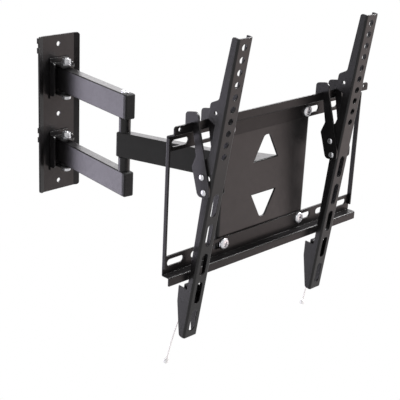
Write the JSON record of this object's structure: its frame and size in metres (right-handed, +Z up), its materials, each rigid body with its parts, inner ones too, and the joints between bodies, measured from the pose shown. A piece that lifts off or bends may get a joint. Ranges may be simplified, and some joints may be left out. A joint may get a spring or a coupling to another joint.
{
  "type": "tv wall mount",
  "caption": "Full-motion wall mount for a flat screen: wall plate, folding tube arms, swivel head with slotted rail frame and tilting hook-on screen channels with pull-cord latches.",
  "frame": {"origin": "centre of the wall plate's back face, on the wall plane", "axes": "+X along the wall to the right seen from the room, +Y into the wall, +Z up"},
  "size_m": [0.409, 0.5221, 0.5011],
  "materials": {
    "black_coat": "satin powder coat",
    "zinc": "bright zinc plated",
    "black_plastic": "satin moulded",
    "cord": "braided",
    "knob": "moulded"
  },
  "bodies": {
    "wall_bracket": {"wall_plate": "black_coat", "upper_clevis": "black_coat", "lower_clevis": "black_coat", "shoulder_bolts": "zinc", "shoulder_nuts": "zinc", "shoulder_washers": "zinc"},
    "first_arm": {"upper_arm_tube": "black_coat", "lower_arm_tube": "black_coat", "shoulder_bushes": "black_plastic", "arm_end_caps": "black_plastic", "elbow_posts": "black_coat", "elbow_washers": "black_plastic", "elbow_bolt": "zinc", "elbow_weld_nut": "zinc"},
    "second_arm": {"second_arm_tube": "black_coat", "second_arm_caps": "black_plastic", "head_bushes": "black_plastic"},
    "tv_plate": {"centre_plate": "black_coat", "head_bolt": "zinc", "head_nut": "zinc", "head_washers": "zinc", "rail_frame": "black_coat", "frame_screws": "zinc", "frame_nuts": "zinc"},
    "left_hanger": {"left_hook_outer": "black_coat", "left_hook_inner": "black_coat", "left_pivot_rivets": "zinc", "left_guide_rivets": "zinc"},
    "left_channel_body": {"left_channel": "black_coat", "left_latch_pin": "black_coat"},
    "left_latch_body": {"left_latch": "black_coat", "left_pull_cord": "cord", "left_cord_knob": "knob"},
    "right_hanger": {"right_hook_outer": "black_coat", "right_hook_inner": "black_coat", "right_pivot_rivets": "zinc", "right_guide_rivets": "zinc"},
    "right_channel_body": {"right_channel": "black_coat", "right_latch_pin": "black_coat"},
    "right_latch_body": {"right_latch": "black_coat", "right_pull_cord": "cord", "right_cord_knob": "knob"}
  },
  "joints": [
    {"name": "shoulder_swivel", "type": "hinge", "parent": "wall_bracket", "child": "first_arm", "pos_m": [0, -0.024, 0], "axis": [0, 0, 1], "range_deg": [-72.74, 87.26]},
    {"name": "elbow_swivel", "type": "hinge", "parent": "first_arm", "child": "second_arm", "pos_m": [-0.02237, -0.19958, 0], "axis": [0, 0, -1], "range_deg": [-130.04, 179.96]},
    {"name": "head_swivel", "type": "hinge", "parent": "second_arm", "child": "tv_plate", "pos_m": [0.04346, -0.40583, 0], "axis": [0, 0, 1], "range_deg": [-57.3, 92.7]},
    {"name": "left_slide", "type": "slide", "parent": "tv_plate", "child": "left_hanger", "axis": [1, 0, 0], "range_m": [-0.028, 0.06]},
    {"name": "left_tilt", "type": "hinge", "parent": "left_hanger", "child": "left_channel_body", "pos_m": [-0.1091, -0.47683, 0.0227], "axis": [1, 0, 0], "range_deg": [-20.4, 0]},
    {"name": "left_latch_pull", "type": "hinge", "parent": "left_channel_body", "child": "left_latch_body", "pos_m": [-0.1091, -0.44302, -0.14604], "axis": [1, 0, 0], "range_deg": [-15, 0], "stiffness_Nm_per_rad": 0.3},
    {"name": "right_slide", "type": "slide", "parent": "tv_plate", "child": "right_hanger", "axis": [1, 0, 0], "range_m": [-0.06, 0.066]},
    {"name": "right_tilt", "type": "hinge", "parent": "right_hanger", "child": "right_channel_body", "pos_m": [0.159, -0.47683, 0.0227], "axis": [1, 0, 0], "range_deg": [-18.5, 1.9]},
    {"name": "right_latch_pull", "type": "hinge", "parent": "right_channel_body", "child": "right_latch_body", "pos_m": [0.159, -0.44863, -0.14707], "axis": [1, 0, 0], "range_deg": [-15, 0], "stiffness_Nm_per_rad": 0.3}
  ]
}
